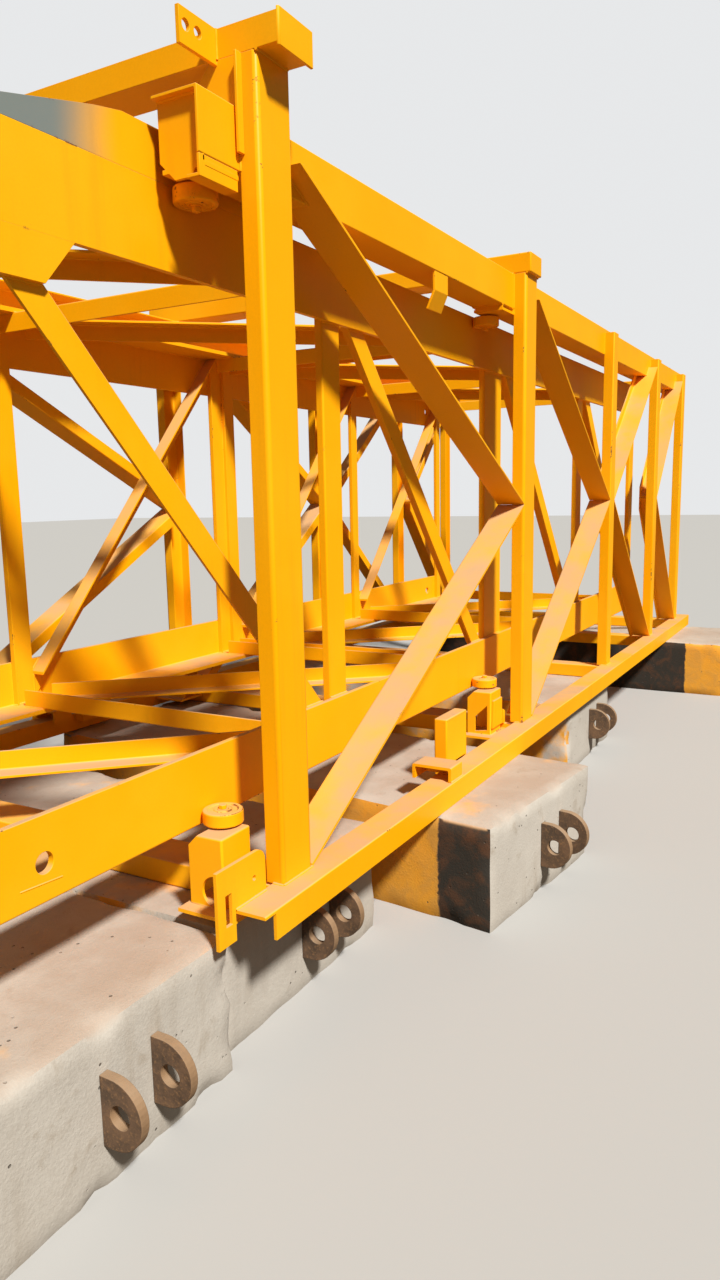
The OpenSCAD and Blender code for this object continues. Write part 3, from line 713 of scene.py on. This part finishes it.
def touching_runs(start, end, tree, pitch):
    """Stretches of an edge that lie on another solid's surface."""
    way = end - start
    count = max(2, int(way.length / pitch))
    runs, first = [], None
    for i in range(count + 1):
        point = start + way * (i / count)
        on = tree.find_nearest(point, TOUCH)[0] is not None
        if on and first is None:
            first = i
        if first is not None and (not on or i == count):
            last = i if on else i - 1
            if last > first:
                runs.append((start + way * (first / count), start + way * (last / count)))
            first = None
    return runs


def is_fillet(edge, point, tree):
    """Whether a bead along an edge would lie in a corner of two solids, not on
    a joint where both are flush."""
    way = (edge.verts[1].co - edge.verts[0].co).normalized()
    for face in edge.link_faces:
        inward = face.normal.cross(way)
        if inward.dot(face.calc_center_median() - point) < 0:
            inward = -inward
        if tree.find_nearest(point + inward * WELD_PROBE, TOUCH)[0] is not None:
            continue
        if tree.find_nearest(point + face.normal * WELD_PROBE, TOUCH)[0] is not None:
            return True
    return False


def add_bead(beads, start, end, radius, pitch, rng):
    """A rippled bead along a line."""
    bm = bmesh.new()
    add_rod(bm, start, end, radius, 6)
    way = (end - start).normalized()
    length = (end - start).length
    long_edges = [edge for edge in bm.edges
                  if abs((edge.verts[0].co - edge.verts[1].co).dot(way)) > 0.5 * length]
    cuts = min(MOST_RIPPLES, max(1, int(length / pitch)))
    bmesh.ops.subdivide_edges(bm, edges=long_edges, cuts=cuts)
    phase = rng.random() * 50
    for vert in bm.verts:
        along = (vert.co - start).dot(way)
        middle = start + way * along
        swell = 0.86 + 0.2 * noise.noise(Vector((along / pitch * 0.5, phase, 0)))
        if round(along / (length / (cuts + 1))) % 2:
            swell += 0.12
        vert.co = middle + (vert.co - middle) * swell
    join_into(beads, bm)


def join_into(target, bm):
    """Moves one bmesh into another."""
    mesh = bpy.data.meshes.new("part")
    bm.to_mesh(mesh)
    bm.free()
    target.from_mesh(mesh)
    bpy.data.meshes.remove(mesh)


def weld_beads(nodes, body, name, rng):
    """One piece with the beads between a body's steel nodes."""
    steel = settings().steel
    meshes = {node: merged_copy(node) for node in nodes}
    trees, boxes = {}, {}
    for node, bm in meshes.items():
        trees[node] = BVHTree.FromBMesh(bm)
        boxes[node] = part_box(node)
    beads, done = bmesh.new(), set()
    for node, bm in meshes.items():
        low, high = boxes[node]
        others = [other for other in nodes if other != node and all(
            low[i] - 0.002 < boxes[other][1][i] and boxes[other][0][i] < high[i] + 0.002
            for i in range(3))]
        for edge in sharp_edges(bm, 40):
            start, end = (vert.co.copy() for vert in edge.verts)
            for other in others:
                for a, b in touching_runs(start, end, trees[other], WELD_STEP):
                    middle = (a + b) / 2
                    if (b - a).length < LEAST_WELD or not is_fillet(edge, middle, trees[other]):
                        continue
                    key = tuple(round(v, 2) for v in middle)
                    if key in done:
                        continue
                    done.add(key)
                    add_bead(beads, a, b, steel.bead, steel.ripple, rng)
    for bm in meshes.values():
        bm.free()
    paint = painted_steel("Painted weld", wear=0.8, dust=0.8, chips=0.5)
    make_piece(name, beads, body, paint, sharp=70)


class CAGE_OT_weld_beads(bpy.types.Operator):
    """Rippled weld beads wherever steel touches steel"""
    bl_idname = "climbing_cage.weld_beads"
    bl_label = "Weld beads"

    def execute(self, context):
        rng = random.Random(11)
        weld_beads(CAGE_NODES, "cage", "cage_weld_beads", rng)
        weld_beads(MAST_NODES, "mast", "mast_weld_beads", rng)
        return {"FINISHED"}


# Small fittings of the near side, in the drawing's millimetres. A box gives x, y
# and z from and to.
CAGE_BOXES = [
    (-25, 0, 46, 55, 2060, 2309),      # flat bar on the first post
    (-172, -12, 64, 73, 1964, 2019),   # angle under the top chord's end
    (-172, -12, 72, 108, 1964, 1973),  # and its foot
    (-158, -150, 64, 76, 2004, 2171),  # strip up the upper bracket's front
    (1312, 1528, 46, 56, 2, 196),      # cover of the box fitting
]
# An outline, the depth from and to, and the axis across.
CAGE_PLATES = [
    # Cheeks of the lower bracket at the main post.
    ([(2002, -6), (2130, -6), (2130, 133), (2016, 133)], 99, 110, "y"),
    ([(2128, -6), (2149, -6), (2149, 58), (2128, 70)], 90, 110, "y"),
    # Plate that hangs from the top chord, and its folded foot.
    ([(1258, 2021), (1383, 2021), (1383, 1946), (1258, 1946)], 66, 76, "y"),
    ([(66, 1947), (76, 1947), (106, 1882), (96, 1878)], 1258, 1383, "x"),
]
# Hexagon nuts on the roller pins.
NUT_X = (-40, 2110)
NUT_Y = 187.5
NUT_Z = ((227, 240), (1928, 1941))
NUT_RADIUS = 0.013
# A lug with a square hole on the mast's upper leg.
MAST_BOXES = [
    (-211, -127, 251, 262, 1997, 2011),
    (-211, -193, 251, 262, 2011, 2035),
    (-145, -127, 251, 262, 2011, 2035),
    (-211, -127, 251, 262, 2035, 2047),
]
# The weld run under the pin hole of the lower leg.
PIN_WELD = ((-740, 251, 232), (-609, 251, 223))
PIN_WELD_RADIUS = 0.0028


def add_plate(bm, outline, low, high, across="y"):
    """A plate from an outline: (x, z) points across y, or (y, z) across x."""
    def point(a, b, depth):
        return at(a, depth, b) if across == "y" else at(depth, a, b)
    front = [bm.verts.new(point(a, b, low)) for a, b in outline]
    back = [bm.verts.new(point(a, b, high)) for a, b in outline]
    faces = [bm.faces.new(front), bm.faces.new(back)]
    for i in range(len(outline)):
        j = (i + 1) % len(outline)
        faces.append(bm.faces.new((front[i], front[j], back[j], back[i])))
    bmesh.ops.recalc_face_normals(bm, faces=faces)


def both_sides(bm):
    """Adds the mirror of a near piece on the far side."""
    made = bmesh.ops.duplicate(bm, geom=bm.verts[:] + bm.edges[:] + bm.faces[:])["geom"]
    verts = [item for item in made if isinstance(item, bmesh.types.BMVert)]
    middle = at(0, CAGE_WIDTH / 2, 0).y
    for vert in verts:
        vert.co.y = 2 * middle - vert.co.y
    bmesh.ops.reverse_faces(bm, faces=[item for item in made
                                       if isinstance(item, bmesh.types.BMFace)])


class CAGE_OT_fittings(bpy.types.Operator):
    """Flat bars, stepped plates, nuts and lugs on the cage and on the mast"""
    bl_idname = "climbing_cage.fittings"
    bl_label = "Fittings"

    def execute(self, context):
        bm = bmesh.new()
        for sizes in CAGE_BOXES:
            add_box(bm, *sizes)
        for outline, low, high, across in CAGE_PLATES:
            add_plate(bm, outline, low, high, across)
        for x in NUT_X:
            for low, high in NUT_Z:
                add_rod(bm, at(x, NUT_Y, low), at(x, NUT_Y, high), NUT_RADIUS, 6)
        self.finish_side(bm, "cage")

        bm = bmesh.new()
        for sizes in MAST_BOXES:
            add_box(bm, *sizes)
        add_rod(bm, at(*PIN_WELD[0]), at(*PIN_WELD[1]), PIN_WELD_RADIUS, 8)
        self.finish_side(bm, "mast")
        return {"FINISHED"}

    def finish_side(self, bm, body):
        """Mirrors the near side's fittings, eases them and makes the piece."""
        both_sides(bm)
        ease_all(bm, FITTING_EDGE)
        paint = painted_steel("Yellow site paint")
        make_piece(body + "_fittings", bm, body, paint)


# Ballast blocks. Roughness and wear in metres.

SURFACE_ROUGH = 0.0012
ARRIS_WEAR = 0.0075
ARRIS_WEAR_SPREAD = 0.006
CHIP_RADIUS = (0.03, 0.11)
ON_FACE = 1e-5


def straight_box(node):
    """The box of a block before its turn about the upright, and that turn."""
    turn = Matrix.Rotation(math.radians(BLOCK_TURN.get(node, 0.0)), 4, "Z")
    back = turn.inverted()
    points = [back @ vert.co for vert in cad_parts[node].data.vertices]
    low = Vector([min(point[i] for point in points) for i in range(3)])
    high = Vector([max(point[i] for point in points) for i in range(3)])
    return low, high, turn


def rough_block(node, seed):
    """A cast block with worn arrises and chips, inside the CAD block."""
    s = settings().concrete
    rng = random.Random(seed)
    low, high, turn = straight_box(node)
    size = high - low
    bm = bmesh.new()
    bmesh.ops.create_cube(bm, size=1.0, matrix=Matrix.Translation((low + high) / 2)
                          @ Matrix.Diagonal((*size, 1.0)))
    for axis in range(3):
        along = [edge for edge in bm.edges
                 if abs(edge.verts[0].co[axis] - edge.verts[1].co[axis]) > 0.9 * size[axis]]
        bmesh.ops.subdivide_edges(bm, edges=along, cuts=int(size[axis] / s.grid) - 1,
                                  use_grid_fill=True)
    chips = []
    for _ in range(s.chips):
        axis = rng.randrange(3)
        spot = Vector([rng.choice((low[i], high[i])) for i in range(3)])
        spot[axis] = rng.uniform(low[axis], high[axis])
        chips.append((spot, rng.uniform(*CHIP_RADIUS), rng.uniform(0.3, 1.0) * s.chip))
    middle = (low + high) / 2
    for vert in bm.verts:
        gap = sorted(min(vert.co[i] - low[i], high[i] - vert.co[i]) for i in range(3))
        rough = noise.noise(vert.co * 23 + Vector((seed, 0, 0)))
        move = SURFACE_ROUGH * (1 + rough)
        if gap[1] < s.grid * 0.5:
            spread = noise.noise(vert.co * 9 + Vector((0, seed, 0)))
            move += ARRIS_WEAR + ARRIS_WEAR_SPREAD * spread
        for spot, radius, depth in chips:
            away = (vert.co - spot).length
            if away < radius:
                move += depth * (1 - (away / radius) ** 2) * (0.7 + 0.4 * rough)
        on = [i for i in range(3)
              if min(vert.co[i] - low[i], high[i] - vert.co[i]) < ON_FACE]
        step = Vector((0, 0, 0))
        for i in on:
            step[i] = move if vert.co[i] < middle[i] else -move
        if vert.co.z < low.z + ON_FACE:
            step.z = 0
        vert.co += step
    bmesh.ops.transform(bm, matrix=turn, verts=bm.verts)
    return bm


# Yellow overspray on the side and on the top of each block, and where its dark
# band starts in the drawing and which way it goes.
BLOCK_PAINT = [(0.15, 0.3, None), (0.35, 0.3, None), (1.3, 0.15, (-60, -1)), (0.5, 0.2, None),
               (1.3, 0.2, (-228, 1))]
FIRST_SEED = 5


class CAGE_OT_ballast_blocks(bpy.types.Operator):
    """Five cast concrete blocks with worn arrises"""
    bl_idname = "climbing_cage.ballast_blocks"
    bl_label = "Ballast blocks"

    def execute(self, context):
        for i, (side, top, band) in enumerate(BLOCK_PAINT):
            node = "ballast_block_%d" % (i + 1)
            if band:
                band = (at(0, band[0], 0).y, band[1])
            material = cast_concrete("Cast concrete %d" % (i + 1), side, top, i + 1, band)
            make_piece(node + "_cast", rough_block(node, FIRST_SEED + i), "cage", material,
                       (node,), sharp=38)
        return {"FINISHED"}


class CAGE_OT_lifting_eyes(bpy.types.Operator):
    """Torch-cut lifting eyes in the ends of the blocks"""
    bl_idname = "climbing_cage.lifting_eyes"
    bl_label = "Lifting eyes"

    def execute(self, context):
        bm = merged_copy("lifting_eyes")
        rim = bm.faces.layers.float.new("rim")
        for face in bm.faces:
            face[rim] = 0.0 if abs(face.normal.x) > 0.9 else 1.0
        bm.edges.index_update()
        round_edges(bm, sharp_edges(bm, 40), EYE_EDGE, 2, True)
        make_piece("lifting_eyes_cut", bm, "cage", rusty_steel("Rusty plate"),
                   ("lifting_eyes",))
        return {"FINISHED"}


# Stage. The camera stands where the photo was taken from, in the drawing.
FLOOR_SIZE = 60.0
FLOOR_BOUNCE = (0.12, 0.095, 0.07, 1)
SKY_LIGHT = (1.0, 0.985, 0.96, 1)
SKY_SEEN = (0.80, 0.81, 0.82, 1)
SUN_COLOUR = (1.0, 0.975, 0.93)
SUN_TOWARD = (-0.62, -1.0, 1.3)
SUN_DEGREES = 6
CAMERA_AT = (-2084.0, -1456.7, 1154.7)
CAMERA_RIGHT = (0.4894, -0.8718, -0.0183)
CAMERA_AHEAD = (0.8594, 0.4858, -0.1594)


def add_floor(scene):
    """The pale floor. Light that bounces off it is that of a darker ground."""
    bm = bmesh.new()
    bmesh.ops.create_grid(bm, x_segments=1, y_segments=1, size=FLOOR_SIZE)
    mesh = bpy.data.meshes.new("floor")
    bm.to_mesh(mesh)
    bm.free()
    floor = bpy.data.objects.new("floor", mesh)
    scene.collection.objects.link(floor)
    material, tree, shader, _ = new_material("Pale floor")
    ray = add(tree, "ShaderNodeLightPath").outputs["Is Camera Ray"]
    tree.links.new(mix(tree, ray, FLOOR_BOUNCE, tuple(settings().stage.floor)),
                   shader.inputs["Base Color"])
    shader.inputs["Roughness"].default_value = 0.9
    shader.inputs["Specular IOR Level"].default_value = 0.1
    mesh.materials.append(material)


def add_sky(scene):
    """Soft light from all round, before a pale backdrop."""
    world = bpy.data.worlds.new("Soft sky")
    scene.world = world
    world.use_nodes = True
    tree = world.node_tree
    tree.nodes.clear()
    out = tree.nodes.new("ShaderNodeOutputWorld")
    lit = add(tree, "ShaderNodeBackground",
              {"Color": SKY_LIGHT, "Strength": settings().stage.fill})
    seen = add(tree, "ShaderNodeBackground", {"Color": SKY_SEEN, "Strength": 1.0})
    ray = add(tree, "ShaderNodeLightPath")
    both = add(tree, "ShaderNodeMixShader", {0: ray.outputs["Is Camera Ray"],
                                             1: lit.outputs[0], 2: seen.outputs[0]})
    tree.links.new(both.outputs[0], out.inputs["Surface"])


def add_sun(scene):
    """One soft-edged key light."""
    lamp = bpy.data.lights.new("key", "SUN")
    lamp.energy = settings().stage.key
    lamp.angle = math.radians(SUN_DEGREES)
    lamp.color = SUN_COLOUR
    light = bpy.data.objects.new("key", lamp)
    scene.collection.objects.link(light)
    light.rotation_euler = Vector(SUN_TOWARD).to_track_quat("Z", "Y").to_euler()


def add_camera(scene):
    """The camera, where it stood for the photo."""
    camera = bpy.data.cameras.new("camera")
    camera.sensor_fit = "VERTICAL"
    camera.sensor_height = 36
    camera.lens = settings().stage.lens
    camera.clip_end = 200
    eye = bpy.data.objects.new("camera", camera)
    scene.collection.objects.link(eye)
    right = Vector(CAMERA_RIGHT).normalized()
    ahead = Vector(CAMERA_AHEAD).normalized()
    above = right.cross(ahead)
    turn = Matrix((right, above, -ahead)).transposed().to_4x4()
    eye.matrix_world = Matrix.Translation(at(*CAMERA_AT)) @ turn
    scene.camera = eye


class CAGE_OT_stage(bpy.types.Operator):
    """Pale floor, soft light and the camera"""
    bl_idname = "climbing_cage.stage"
    bl_label = "Stage"

    def execute(self, context):
        scene = context.scene
        scene.view_settings.view_transform = "Standard"
        add_floor(scene)
        add_sky(scene)
        add_sun(scene)
        add_camera(scene)
        return {"FINISHED"}


OPERATORS = (CAGE_OT_stage, CAGE_OT_cage_steel, CAGE_OT_mast_steel, CAGE_OT_guide_rollers,
             CAGE_OT_weld_beads, CAGE_OT_fittings, CAGE_OT_ballast_blocks,
             CAGE_OT_lifting_eyes)


class CAGE_PT_panel(bpy.types.Panel):
    """Sizes, colours and building steps"""
    bl_idname = "CAGE_PT_panel"
    bl_label = "Climbing cage"
    bl_space_type = "VIEW_3D"
    bl_region_type = "UI"
    bl_category = "Climbing cage"

    def draw(self, context):
        s = context.scene.climbing_cage
        for group in (s.paint, s.steel, s.concrete, s.stage):
            box = self.layout.box()
            for name in group.__annotations__:
                box.prop(group, name)
        for operator in OPERATORS:
            self.layout.operator(operator.bl_idname)


CLASSES = (PaintSettings, SteelSettings, ConcreteSettings, StageSettings,
           CageSettings) + OPERATORS + (CAGE_PT_panel,)


def register():
    for cls in CLASSES:
        bpy.utils.register_class(cls)
    bpy.types.Scene.climbing_cage = PointerProperty(type=CageSettings)


def unregister():
    del bpy.types.Scene.climbing_cage
    for cls in reversed(CLASSES):
        bpy.utils.unregister_class(cls)


def main():
    register()
    steps = bpy.ops.climbing_cage
    steps.stage()
    steps.cage_steel()
    steps.mast_steel()
    steps.guide_rollers()
    steps.weld_beads()
    steps.fittings()
    steps.ballast_blocks()
    steps.lifting_eyes()


if __name__ == "__main__":
    main()
